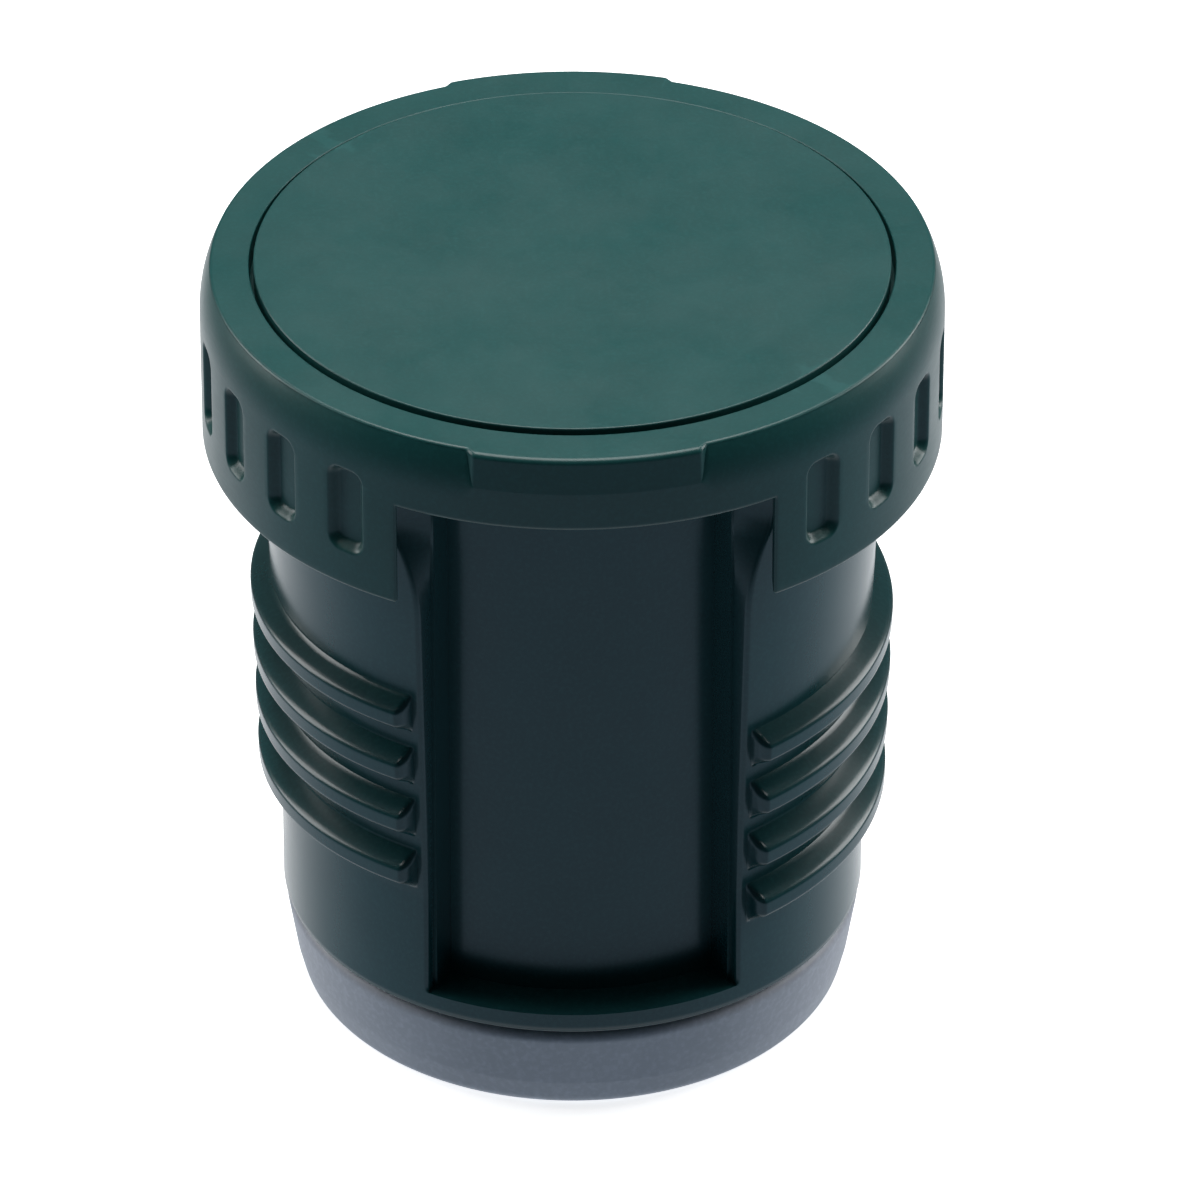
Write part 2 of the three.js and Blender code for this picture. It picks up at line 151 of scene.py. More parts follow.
def fillet(before, corner, after, size, steps):
    """Points of a round corner between two straight stretches, with one point just outside each end."""
    a, b, c = (np.array(p, float) for p in (before, corner, after))
    to_a = (a - b) / np.linalg.norm(a - b)
    to_c = (c - b) / np.linalg.norm(c - b)
    half = math.acos(float(np.clip(to_a @ to_c, -1, 1))) / 2
    centre = b + (to_a + to_c) / np.linalg.norm(to_a + to_c) * size / math.sin(half)
    start = b + to_a * size / math.tan(half) - centre
    end = b + to_c * size / math.tan(half) - centre
    turn = math.atan2(start[0] * end[1] - start[1] * end[0], start @ end)
    beyond = min(0.15 * size, 0.08)
    x, y = start
    points = [centre + start + to_a * beyond]
    for i in range(steps + 1):
        cos, sin = math.cos(turn * i / steps), math.sin(turn * i / steps)
        points.append(centre + np.array([x * cos - y * sin, x * sin + y * cos]))
    points.append(centre + end + to_c * beyond)
    return points


def outline(corners, closed=False, steps=6):
    """(radius, height) points through corners, given as (radius, height) or, where the corner is
    round, (radius, height, size)."""
    points = []
    for i, corner in enumerate(corners):
        at_end = not closed and i in (0, len(corners) - 1)
        if at_end or len(corner) < 3:
            points.append(np.array(corner[:2], float))
            continue
        before = corners[i - 1][:2]
        after = corners[(i + 1) % len(corners)][:2]
        points.extend(fillet(before, corner[:2], after, corner[2], steps))
    return np.array(points)


def between(first, last, longest):
    """Evenly spread values from first to last, both included."""
    return np.linspace(first, last, max(2, math.ceil(abs(last - first) / longest) + 1))


def around(stops):
    """Angles in radians from (degrees, spacing) stops: each spacing holds up to the next stop."""
    angles = [stops[0][0]]
    for (start, step), (end, _) in zip(stops, stops[1:]):
        angles.extend(between(start, end, step)[1:])
    return np.radians(angles)


def smooth_step(value, low, high):
    """0 up to low, 1 from high, and a smooth rise between."""
    t = np.clip((value - low) / (high - low), 0, 1)
    return t * t * (3 - 2 * t)


def soft_min(a, b, size):
    """The lower of two values, with their crossing rounded over about `size`."""
    return np.minimum(a, b) - np.maximum(size - np.abs(a - b), 0) ** 2 / (4 * size)


def soft_max(a, b, size):
    """The higher of two values, with their crossing rounded over about `size`."""
    return -soft_min(-a, -b, size)


def sheet_of(radius, height, angle):
    """A grid of points from radius, height and angle, each [outline point, angle]."""
    radius, height, angle = np.broadcast_arrays(radius, height, angle)
    return np.stack([radius * np.sin(angle), -radius * np.cos(angle), height], axis=-1)


def make_piece(name, sheets, node, body, material):
    """A piece from sheets of points whose edges meet. It stands for a CAD node."""
    points, faces = [], []
    count = 0
    for sheet in sheets:
        rows, columns = sheet.shape[:2]
        corner = count + np.arange(rows * columns).reshape(rows, columns)
        quads = [corner[:-1, :-1], corner[:-1, 1:], corner[1:, 1:], corner[1:, :-1]]
        faces.append(np.stack(quads, axis=-1).reshape(-1, 4))
        points.append(sheet.reshape(-1, 3))
        count += rows * columns
    faces, points = weld(np.concatenate(faces), np.concatenate(points))
    mesh = bpy.data.meshes.new(name)
    mesh.from_pydata((points * MM).tolist(), [], faces)
    outwards(mesh)
    mesh.shade_smooth()
    mesh.set_sharp_from_angle(angle=SHARP_ANGLE)
    piece = bpy.data.objects.new(name, mesh)
    bpy.context.collection.objects.link(piece)
    piece.data.materials.append(material)
    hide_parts(node)
    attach(piece, body)
    return piece


def weld(quads, points):
    """Faces on shared points: points closer than a micrometre become one, and a face left with
    fewer than three different corners is dropped."""
    keys = np.round(points * 1000).astype(np.int64)
    _, first, shared = np.unique(keys, axis=0, return_index=True, return_inverse=True)
    faces = []
    for corners in shared.reshape(-1)[quads].tolist():
        face = [c for k, c in enumerate(corners) if c != corners[k - 1]]
        if len(set(face)) == len(face) > 2:
            faces.append(face)
    return faces, points[first]


def outwards(mesh):
    """Drops points that no face uses, and turns every face to look out of the piece."""
    work = bmesh.new()
    work.from_mesh(mesh)
    loose = [v for v in work.verts if not v.link_faces]
    bmesh.ops.delete(work, geom=loose, context="VERTS")
    bmesh.ops.recalc_face_normals(work, faces=work.faces)
    work.to_mesh(mesh)
    work.free()


def lathe(name, corners, node, body, material, closed=False, steps=8):
    """A plain turned piece. The outline is closed, or starts and ends on the axis."""
    points = outline(corners, closed, steps)
    if closed:
        points = np.vstack([points, points[:1]])
    angle = np.linspace(0, FULL_TURN, LATHE_COLUMNS + 1)
    sheet = sheet_of(points[:, :1], points[:, 1:], angle)
    return make_piece(name, [sheet], node, body, material)


# ---- materials ----


def add(tree, kind, values=(), **settings):
    """A shader node with its settings, and (input, value or socket) pairs."""
    node = tree.nodes.new("ShaderNode" + kind)
    for key, value in settings.items():
        setattr(node, key, value)
    for key, value in values:
        if isinstance(value, bpy.types.NodeSocket):
            tree.links.new(value, node.inputs[key])
        else:
            node.inputs[key].default_value = value
    return node


def noise(tree, place, size, detail=3, roughness=0.5):
    """Noise with features of about `size` millimetres."""
    scale = 1 / (size * MM)
    values = (("Vector", place), ("Scale", scale), ("Detail", detail), ("Roughness", roughness))
    return add(tree, "TexNoise", values).outputs["Fac"]


def spread(tree, value, low, high, from_low=0.3, from_high=0.7):
    """A noise value carried into a range."""
    pairs = (("Value", value), ("From Min", from_low), ("From Max", from_high),
             ("To Min", low), ("To Max", high))
    return add(tree, "MapRange", pairs).outputs["Result"]


def mix_colours(tree, share, first, second):
    """Two colours, each a value or a socket, mixed by a share of the second."""
    mix = add(tree, "Mix", (("Factor", share),), data_type="RGBA")
    for socket, colour in (("A", first), ("B", second)):
        if isinstance(colour, bpy.types.NodeSocket):
            tree.links.new(colour, mix.inputs[socket])
        else:
            mix.inputs[socket].default_value = (*colour, 1)
    return mix.outputs["Result"]


def math_node(tree, operation, *values):
    return add(tree, "Math", list(enumerate(values)), operation=operation).outputs["Value"]


TEAL = (0.0062, 0.056, 0.054)
DEEP = (0.0060, 0.046, 0.050)
PALE = (0.37, 0.39, 0.44)
# painted shade: the colour at the bottom of the foam cells' pits
FOAM_PIT_SHADE = (0.52, 0.44, 0.27)
FOAM_CELL = (0.80, 0.74, 0.56)


def plastic(name, colour, roughness, specular, mottle, grain, grain_size, polish):
    """Moulded plastic: a slightly uneven colour, a painted highlight that makes convex edges paler, a
    fine spark-eroded grain, and patches and hairlines where handling has polished it. grain is the
    texture's depth and grain_size its width, in millimetres."""
    material = bpy.data.materials.new(name)
    material.use_nodes = True
    tree = material.node_tree
    shader = tree.nodes["Principled BSDF"]
    place = add(tree, "TexCoord").outputs["Object"]
    clouds = noise(tree, place, 6, detail=4)
    specks = noise(tree, place, grain_size * 2.2, detail=2)
    convexity = add(tree, "NewGeometry").outputs["Pointiness"]

    darker = [c * (1 - mottle) for c in colour]
    lighter = [c * (1 + mottle) for c in colour]
    pale_speck = [c * 1.6 + 0.004 for c in colour]
    # the colour of the painted highlight on convex edges
    painted_edge_highlight = [c * 1.7 + 0.01 for c in colour]
    hue = mix_colours(tree, spread(tree, clouds, 0, 1), darker, lighter)
    speck = spread(tree, specks, 0, 0.35, from_low=0.45, from_high=0.8)
    speckled = mix_colours(tree, speck, hue, pale_speck)
    # painted highlight: convex edges, found by pointiness, are mixed towards a paler colour
    edge = spread(tree, convexity, 0, 0.3, from_low=0.515, from_high=0.57)
    edge_highlighted = mix_colours(tree, edge, speckled, painted_edge_highlight)
    tree.links.new(edge_highlighted, shader.inputs["Base Color"])

    streaks = add(tree, "Mapping", (("Vector", place), ("Scale", (1, 1, 9)))).outputs["Vector"]
    hairlines = noise(tree, streaks, 1.3, detail=5, roughness=0.65)
    patches = spread(tree, noise(tree, place, 11), -polish, polish)
    lines = spread(tree, hairlines, -polish / 2, polish / 2)
    sheen = math_node(tree, "ADD", math_node(tree, "ADD", patches, lines), roughness)
    tree.links.new(sheen, shader.inputs["Roughness"])

    texture = noise(tree, place, grain_size, detail=2, roughness=0.6)
    relief = add(tree, "Bump", (("Height", texture), ("Strength", 1), ("Distance", grain * MM)))
    flow = noise(tree, place, 9, detail=1)
    sunk = add(tree, "Bump", (("Height", flow), ("Strength", 1), ("Distance", 0.05 * MM)))
    tree.links.new(sunk.outputs["Normal"], relief.inputs["Normal"])
    tree.links.new(relief.outputs["Normal"], shader.inputs["Normal"])
    shader.inputs["Specular IOR Level"].default_value = specular
    shader.inputs["IOR"].default_value = 1.5
    return material


def foam():
    """Cast rigid foam: cream, matt, with closed cells, and painted shade that darkens their pits."""
    material = bpy.data.materials.new("foam")
    material.use_nodes = True
    tree = material.node_tree
    shader = tree.nodes["Principled BSDF"]
    place = add(tree, "TexCoord").outputs["Object"]
    cells = add(tree, "TexVoronoi", (("Vector", place), ("Scale", 1 / (0.8 * MM)))).outputs["Distance"]
    # painted shade: the colour is darker in the cells' pits, where the bump sinks
    share = spread(tree, cells, 0, 1, from_low=0, from_high=0.6)
    tree.links.new(mix_colours(tree, share, FOAM_PIT_SHADE, FOAM_CELL), shader.inputs["Base Color"])
    relief = add(tree, "Bump", (("Height", cells), ("Distance", 0.2 * MM), ("Strength", 1)))
    tree.links.new(relief.outputs["Normal"], shader.inputs["Normal"])
    dull = spread(tree, cells, 0.95, 0.8, from_low=0, from_high=0.6)
    tree.links.new(dull, shader.inputs["Roughness"])
    shader.inputs["Specular IOR Level"].default_value = 0.2
    return material


# ---- grip head ----

# Where the round edge of the skirt meets its outer wall: the height of that line above the
# openings and along the skirt's lower edge, and its angle beside an opening.
OPENING_LINE = MOUTH_TOP + EDGE
SKIRT_LINE = SKIRT_BOTTOM + EDGE
MOUTH_EDGE = math.asin(MOUTH_HALF_WIDTH / HEAD_RADIUS)
SIDE_START = MOUTH_EDGE + EDGE / HEAD_RADIUS


def from_middle(angle):
    """How far an angle lies from the middle of the front or the back, whichever is nearer."""
    return np.abs((angle + math.pi / 2) % math.pi - math.pi / 2)


def parallel(angle, radius):
    """Turns angles near an opening so that its sides are parallel to the YZ plane at every radius."""
    shift = np.arcsin(MOUTH_HALF_WIDTH / np.maximum(radius, SKIRT_INNER)) - MOUTH_EDGE
    turned = angle
    for centre in (0, math.pi, FULL_TURN):
        for side in (-1, 1):
            distance = angle - centre - side * MOUTH_EDGE
            weight = 1 - smooth_step(np.abs(distance), math.radians(0.9), math.radians(7))
            turned = turned + side * shift * weight
    return turned


def lobe_share(angle):
    """1 within the lobe over each opening, 0 elsewhere, with a short step between."""
    start = LOBE_HALF_ANGLE - math.radians(1.3)
    end = LOBE_HALF_ANGLE + math.radians(0.5)
    return 1 - smooth_step(from_middle(angle), start, end)


def pocket_angles():
    """The middles of the pockets, in degrees: some in each quarter, with a wider plain stretch
    between them at the two sides."""
    quarter = [FIRST_POCKET + i * POCKET_SPACING for i in range(POCKETS_PER_QUARTER)]
    right = quarter + [180 - a for a in quarter[::-1]]
    return right + [180 + a for a in right]


def pocket_depth(angle, height):
    """How far the outer wall is sunk: upright pockets with round corners and a plain floor."""
    depth = 0 * angle + 0 * height
    middle = (POCKET_BOTTOM + POCKET_TOP) / 2
    for centre in pocket_angles():
        across = np.abs(HEAD_RADIUS * (angle - math.radians(centre))) - POCKET_WIDTH / 2 + POCKET_CORNER
        along = np.abs(height - middle) - (POCKET_TOP - POCKET_BOTTOM) / 2 + POCKET_CORNER
        corner = np.hypot(np.maximum(across, 0), np.maximum(along, 0))
        inside = POCKET_CORNER - corner - np.minimum(np.maximum(across, along), 0)
        depth = np.maximum(depth, POCKET_DEPTH * smooth_step(inside, 0, POCKET_EDGE))
    return depth


def head_angles():
    """Angles over the front opening, close together at the lobe's ends, and angles from its edge
    round the right side to the back opening's edge, close together at pocket sides."""
    side = [(math.degrees(SIDE_START), 0.5)]
    for centre in pocket_angles()[:2 * POCKETS_PER_QUARTER]:
        stops = [(-3.5, 0.17), (-1.7, 0.6), (1.7, 0.17), (3.5, 0.9)]
        side.extend((centre + offset, step) for offset, step in stops)
    side.append((180 - math.degrees(SIDE_START), 1))
    lobe = math.degrees(LOBE_HALF_ANGLE)
    edge = math.degrees(MOUTH_EDGE)
    front = [(-edge + 0.1, 1), (-lobe - 1, 0.15), (-lobe + 2, 1), (0, 1),
             (lobe - 2, 0.15), (lobe + 1, 1), (edge - 0.1, 1)]
    return around(front), around(side)


def rows_between(stops):
    """Heights from (height, spacing) stops: each spacing holds up to the next stop."""
    rows = [stops[0][0]]
    for (start, step), (end, _) in zip(stops, stops[1:]):
        rows.extend(between(start, end, step)[1:])
    return np.array(rows)


def wall_heights():
    """Heights on the skirt's wall beside the openings, close together at the pockets' lower ends,
    and the openings' line above them."""
    rows = rows_between([(SKIRT_LINE, 0.4), (POCKET_BOTTOM - 0.15, 0.11),
                         (POCKET_BOTTOM + POCKET_WIDTH / 2, 0.5), (MOUTH_TOP - 1, 0.11), (OPENING_LINE, 1)])
    return rows[(rows < MOUTH_TOP - 0.1) | (rows > OPENING_LINE - 1e-6)]


def inner_outline():
    """From the skirt's inner wall at the openings' line, over the web's underside, bore and top and
    the disc's ledge and recess, to the head's top face."""
    return outline([
        (SKIRT_INNER, OPENING_LINE),
        (SKIRT_INNER, WEB_UNDERSIDE, 0.3),
        (WEB_BORE_RADIUS, WEB_UNDERSIDE, 0.2),
        (WEB_BORE_RADIUS, WEB_TOP, 0.2),
        (LEDGE_RADIUS, WEB_TOP, 0.2),
        (LEDGE_RADIUS, HEIGHT - DISC_THICKNESS - 0.1, 0.1),
        (DISC_RECESS_RADIUS, HEIGHT - DISC_THICKNESS - 0.1, 0.1),
        (DISC_RECESS_RADIUS, HEIGHT, 0.12),
        (RIM_START, HEIGHT),
    ])


def rim_outlines():
    """The outside of the head from its top face down to the pockets' upper ends: once between the
    lobes, where the rim curves in, and once on a lobe, which stands out over it and leans in only a
    little. Both have the same number of points, as (radius, height)."""
    first = (RIM_START, HEIGHT)
    last = (HEAD_RADIUS, POCKET_TOP + 0.1)
    between_lobes = [first, (RIM_RADIUS, HEIGHT, 0.3), (HEAD_RADIUS, HEIGHT - 2, 9), last]
    on_lobe = [first, (LOBE_RADIUS, HEIGHT, 0.45), (HEAD_RADIUS, HEIGHT - 2.9, 1.5), last]
    return outline(between_lobes, steps=12), outline(on_lobe, steps=12)


def rim_sheet(angle):
    """The rim and, below it, the wall down to the openings' line, sunk at the pockets."""
    between_lobes, on_lobe = rim_outlines()
    share = lobe_share(angle)[None, :, None]
    rim = between_lobes[:, None, :] * (1 - share) + on_lobe[:, None, :] * share
    below = between(POCKET_TOP + 0.1, OPENING_LINE, 0.11)[1:, None] + 0 * angle
    wall = np.stack([HEAD_RADIUS - pocket_depth(angle, below), below], axis=-1)
    both = np.concatenate([rim, wall])
    return sheet_of(both[..., 0], both[..., 1], parallel(angle, both[..., 0]))


def edge_round(points, normals):
    """The round edge along the skirt and openings: a line of (angle, height) points where it meets
    the outer wall, with the direction into the wall, swept from the inner wall to the outer one."""
    rows = []
    quarter = np.linspace(0, math.pi / 2, 7)
    section = [(SKIRT_INNER + EDGE * (1 - math.cos(a)), EDGE * math.sin(a)) for a in quarter]
    section += [(HEAD_RADIUS - EDGE * (1 - math.cos(a)), EDGE * math.sin(a)) for a in quarter[::-1]]
    for radius, drop in section:
        angle = points[:, 0] - normals[:, 0] * drop / HEAD_RADIUS
        height = points[:, 1] - normals[:, 1] * drop
        rows.append(sheet_of(radius, height, parallel(angle, radius)))
    return np.stack(rows)


def skirt_edge(front, side, heights):
    """The line that edge_round() follows from the middle of the front opening to the middle of the
    back one, with its directions into the wall."""
    quarter = np.linspace(0, math.pi / 2, 7)
    line = [(a, OPENING_LINE, 0, 1) for a in front[front >= 0]]
    line += [(SIDE_START, OPENING_LINE, 1, 1)]
    line += [(SIDE_START, h, 1, 0) for h in heights[-2::-1]]
    line += [(SIDE_START, SKIRT_LINE, math.cos(a), math.sin(a)) for a in quarter[1:]]
    line += [(a, SKIRT_LINE, 0, 1) for a in side[1:-1]]
    line = np.array(line)
    mirrored = line[::-1] * [-1, 1, -1, 1] + [math.pi, 0, 0, 0]
    before = line[line[:, 0] < math.pi / 2 - 1e-9]
    middle = [(math.pi / 2, SKIRT_LINE, 0, 1)]
    after = mirrored[mirrored[:, 0] > math.pi / 2 + 1e-9]
    return np.vstack([before, middle, after])


def grip_head(material):
    front, side = head_angles()
    heights = wall_heights()
    turn = np.concatenate([front[front >= 0], side, math.pi + front, math.pi + side,
                           FULL_TURN + front[front <= 0]])
    inside = inner_outline()
    sheets = [sheet_of(inside[:, :1], inside[:, 1:], parallel(turn, inside[:, :1])), rim_sheet(turn)]
    for start in (0, math.pi):
        angle = start + side
        wall = heights[:, None] + 0 * angle
        sunk = pocket_depth(angle, wall)
        sheets.append(sheet_of(HEAD_RADIUS - sunk, wall, parallel(angle, HEAD_RADIUS - sunk)))
        sheets.append(sheet_of(SKIRT_INNER, wall[::-1], parallel(angle, SKIRT_INNER + 0 * wall)))
        line = skirt_edge(front, side, heights) + [start, 0, 0, 0]
        sheets.append(edge_round(line[:, :2], line[:, 2:]))
    return make_piece("head", sheets, "grip_head", "stopper", material)


# ---- plug ----


def plug_base(height):
    """The plug's outer radius, without channels and thread."""
    drafted = np.clip((height - PLUG_WAIST) / (PLUG_TOP - PLUG_WAIST), 0, 1)
    return PLUG_FOOT_RADIUS + (PLUG_TOP_RADIUS - PLUG_FOOT_RADIUS) * drafted


def ridge(rise, crest):
    """Radius of a thread ridge at a height above its crest edge: a steep upper flank, a flat crest,
    and a lower flank that runs out into the wall."""
    upper = crest + (CREST_ABOVE - rise) * UPPER_SLOPE
    lower = crest - np.maximum(0, -rise - CREST_BELOW) * LOWER_SLOPE
    top = soft_min(crest + CREST_LEAN * rise, upper, 0.35)
    return soft_min(top, lower, 0.5)


def thread_radius(row, height, angle, base):
    """The plug's radius with its ridges. Rows follow the helix, so a row's own height says where
    it lies on a ridge. Angles here run from -90 to 270 degrees."""
    turned = np.degrees((angle + math.pi / 2) % FULL_TURN - math.pi / 2)
    radius = base
    for side, first in ((-1, 0), (1, 1)):
        from_end = np.where(side > 0, turned, np.where(turned > 90, 360 - turned, -turned))
        room = np.minimum(from_end - THREAD_END, 180 - THREAD_END - from_end)
        fullness = np.sqrt(1 - (1 - np.clip(room / THREAD_RUNOUT, 0, 1)) ** 2)
        for turn in range(first, first + TURNS):
            crest_height = FIRST_CREST - PITCH * turn
            along = np.clip((height - PLUG_WAIST) / (FIRST_CREST - PLUG_WAIST), 0, 1)
            crest = CREST_BOTTOM_RADIUS + (CREST_RADIUS - CREST_BOTTOM_RADIUS) * along
            raised = ridge(row - crest_height, crest) - base
            radius = np.where(raised * fullness > radius - base, base + raised * fullness, radius)
    return soft_max(radius, base, 0.12)


def channel_radius(across, height):
    """How far out the wall may be: a channel's floor, a step up to its rebate, a step clear of the
    wall, and the sill and roof. across is the distance in millimetres past the channel's edge,
    negative inside the channel."""
    first_step = np.clip(across / CHANNEL_STEP + 1, 0, 1)
    second_step = np.clip((across - REBATE_WIDTH) / CHANNEL_STEP, 0, 1)
    side = CHANNEL_FLOOR_RADIUS + first_step * (REBATE_RADIUS - CHANNEL_FLOOR_RADIUS) + second_step * 4
    sill = CHANNEL_FLOOR_RADIUS + (CHANNEL_SILL + 0.05 - height) * CHANNEL_END_SLOPE
    roof = CHANNEL_FLOOR_RADIUS + (height - CHANNEL_ROOF + 0.05) * CHANNEL_END_SLOPE
    return soft_max(side, np.clip(np.maximum(sill, roof), 15, 40), 0.5)


def corner_drop(across, height):
    """How much the rounded edge beside a channel lowers the wall. It fades out at the channel's
    two ends."""
    inwards = CHANNEL_CORNER - np.clip(across - REBATE_WIDTH - CHANNEL_STEP, 0, CHANNEL_CORNER)
    above_sill = np.clip((height - CHANNEL_SILL) / 0.4, 0, 1)
    below_roof = np.clip((CHANNEL_ROOF - height) / 0.4, 0, 1)
    return above_sill * below_roof * (CHANNEL_CORNER - np.sqrt(CHANNEL_CORNER ** 2 - inwards ** 2))


def plug_angles():
    """Angles round the plug: close together beside the channels and where the ridges end, with
    columns right on each step of the channels' sides, and two at each end of their backing."""
    edge = CHANNEL_HALF_ANGLE
    thread = THREAD_END + THREAD_RUNOUT + 0.4
    backing = math.degrees(BACKING_HALF_ANGLE)
    right = around([
        (0, 2), (edge - 3.2, 0.45), (edge - 1.6, 0.13), (edge + 1.6, 0.16), (thread, 1.2), (backing, 2),
        (180 - backing, 1.2), (180 - thread, 0.16), (180 - edge - 1.6, 0.13), (180 - edge + 1.6, 0.45),
        (180 - edge + 3.2, 2), (180, 2),
    ])
    corner = REBATE_WIDTH + CHANNEL_STEP + between(0, CHANNEL_CORNER, 0.05)
    steps = np.concatenate([[-CHANNEL_STEP, 0, REBATE_WIDTH], corner])
    exact = math.radians(edge) + steps / PLUG_FOOT_RADIUS
    clear = np.abs(from_middle(right) - exact.mean()) > np.ptp(exact) / 2 + 0.0005
    twins = np.radians([backing, 180 - backing])
    every = np.sort(np.concatenate([right[clear], exact, math.pi - exact, twins]))
    return np.concatenate([every, math.pi + every[1:]])


def plug_rows():
    """Heights down the plug's wall, close together in the thread and at the channels' ends."""
    last_crest = FIRST_CREST - PITCH * TURNS
    return rows_between([
        (PLUG_TOP - 0.45, 0.12), (CHANNEL_ROOF - 0.6, 1.2), (FIRST_CREST + 2, 0.13), (last_crest - 3, 0.8),
        (CHANNEL_SILL + 1.2, 0.07), (CHANNEL_SILL - 0.6, 0.3), (PLUG_BOTTOM + 0.35, 1),
    ])


def plug_wall(row, angle):
    """Radius, height and angle of the plug's outer wall, with channels and thread. Within the
    thread a row climbs with the helix from the back's left to the back's right, and comes down
    again across the back channel."""
    turned = angle % FULL_TURN
    from_back = turned - math.pi
    end = math.radians(THREAD_END)
    climb = np.where(from_back >= end, turned - FULL_TURN, turned)
    climb = np.where(np.abs(from_back) < end, -from_back * (180 - THREAD_END) / THREAD_END, climb)
    in_thread = smooth_step(row, *THREAD_FADE) * (1 - smooth_step(row, *THREAD_START))
    height = row + PITCH * climb / FULL_TURN * in_thread
    across = PLUG_FOOT_RADIUS * (from_middle(angle) - math.radians(CHANNEL_HALF_ANGLE))
    radius = thread_radius(row, height, angle, plug_base(height))
    radius = soft_min(radius - corner_drop(across, height), channel_radius(across, height), 0.28)
    flare = FLARE_WIDTH * np.clip((height - FLARE_START) / FLARE_HEIGHT, 0, 1) ** 2
    on_wall = np.clip((across - REBATE_WIDTH) / CHANNEL_STEP, 0, 1)
    weight = on_wall * (1 - smooth_step(across, 1.0, FLARE_REACH))
    away = np.where(np.sin(2 * angle) > 0, 1, -1)
    return radius, height, angle + away * flare * weight


def backed_columns(angle):
    """Which columns lie behind a channel, where the inside wall stands further in. At each end of
    that stretch are two columns at one angle, so that the wall steps straight in."""
    half = from_middle(angle)
    twin = np.abs(half - BACKING_HALF_ANGLE) < SAME_ANGLE
    first_of_twins = twin & (np.diff(angle, append=9) < SAME_ANGLE)
    leaving = np.sin(2 * angle) > 0
    inner_twin = twin & np.where(leaving, first_of_twins, ~first_of_twins)
    return (half < BACKING_HALF_ANGLE - SAME_ANGLE) | inner_twin


def threaded_plug(material):
    angle = plug_angles()
    wall = sheet_of(*plug_wall(plug_rows()[:, None], angle[None, :]))
    top = outline([(0, BOSS_TOP), (BOSS_RADIUS, BOSS_TOP, 0.3), (BOSS_RADIUS, PLUG_TOP, 0.3),
                   (PLUG_TOP_RADIUS, PLUG_TOP, 0.35), (PLUG_TOP_RADIUS, PLUG_TOP - 0.45)])
    top_sheet = sheet_of(top[:, :1], top[:, 1:], angle)
    top_sheet[-1] = wall[0]
    backing = CHANNEL_FLOOR_RADIUS - PLUG_WALL
    foot = outline([(PLUG_FOOT_RADIUS, PLUG_BOTTOM + 0.35), (PLUG_FOOT_RADIUS, PLUG_BOTTOM, 0.25),
                    (PLUG_BORE_RADIUS, PLUG_BOTTOM, 0.2), (PLUG_BORE_RADIUS, PLUG_BORE_TOP, 0.1),
                    (backing, PLUG_BORE_TOP)])
    foot_sheet = sheet_of(foot[:, :1], foot[:, 1:], angle)
    foot_sheet[0] = wall[-1]
    roof = CHANNEL_ROOF - 0.2
    behind_channel = backed_columns(angle)
    inside = []
    for out, level in ((1, PLUG_BORE_TOP), (1, PLUG_WAIST), (1, roof), (0, roof)):
        radius = np.where(behind_channel, backing, plug_base(level) - PLUG_WALL) * out
        inside.append(sheet_of(radius, level, angle))
    sheets = [top_sheet, wall, foot_sheet, np.stack(inside)]
    return make_piece("plug", sheets, "threaded_plug", "stopper", material)


# ---- turned pieces ----


def top_disc(material):
    underside = HEIGHT - DISC_THICKNESS + 0.2
    ring_outer = DISC_RADIUS - 1.55
    ring_inner = ring_outer - 1.4
    corners = [(0, underside), (ring_inner, underside, 0.1), (ring_inner, DISC_RING_BOTTOM, 0.15),
               (ring_outer, DISC_RING_BOTTOM, 0.15), (ring_outer, underside, 0.1),
               (DISC_RADIUS, underside, 0.2), (DISC_RADIUS, DISC_TOP, 0.13)]
    corners += [(r, DISC_TOP) for r in between(DISC_RADIUS - 0.6, 0, 1.5)]
    return lathe("disc", corners, "top_disc", "stopper", material)


def base_cap(material):
    inner = SPIGOT_RADIUS - SPIGOT_WALL
    floor = CAP_UNDERSIDE + 2
    shelf = FLANGE_TOP - FLANGE_THICKNESS
    groove = CAP_UNDERSIDE + 0.35
    corners = [(0, CAP_UNDERSIDE), (SPIGOT_RADIUS - 2.5, CAP_UNDERSIDE, 0.2),
               (SPIGOT_RADIUS - 2.3, groove, 0.15), (SPIGOT_RADIUS - 1.3, groove, 0.15),
               (SPIGOT_RADIUS - 1.1, CAP_UNDERSIDE, 0.15), (SPIGOT_RADIUS, CAP_UNDERSIDE, 0.5),
               (SPIGOT_RADIUS, shelf, 0.1), (CAP_RADIUS, shelf, 0.2), (CAP_RADIUS, FLANGE_TOP, 0.2),
               (SPIGOT_RADIUS, FLANGE_TOP, 0.1), (SPIGOT_RADIUS, CAP_TOP, 0.3), (inner, CAP_TOP, 0.3),
               (inner, floor, 0.5), (0, floor)]
    return lathe("cap", corners, "base_cap", "stopper", material)


def bottom_seal(material):
    bore = SPIGOT_RADIUS + FIT_GAP
    recess = CAP_RADIUS + FIT_GAP
    recess_floor = FLANGE_TOP - FLANGE_THICKNESS - FIT_GAP
    corners = [(bore, SEAL_BOTTOM, 0.5), (SEAL_FOOT_RADIUS, SEAL_BOTTOM, 1.25), (*SEAL_SHOULDER, 3),
               (SEAL_RADIUS, SEAL_TOP, 0.8), (recess, SEAL_TOP, 0.25), (recess, recess_floor, 0.2),
               (bore, recess_floor, 0.15)]
    return lathe("seal", corners, "bottom_seal", "seal", material, closed=True, steps=10)


# ---- studio ----

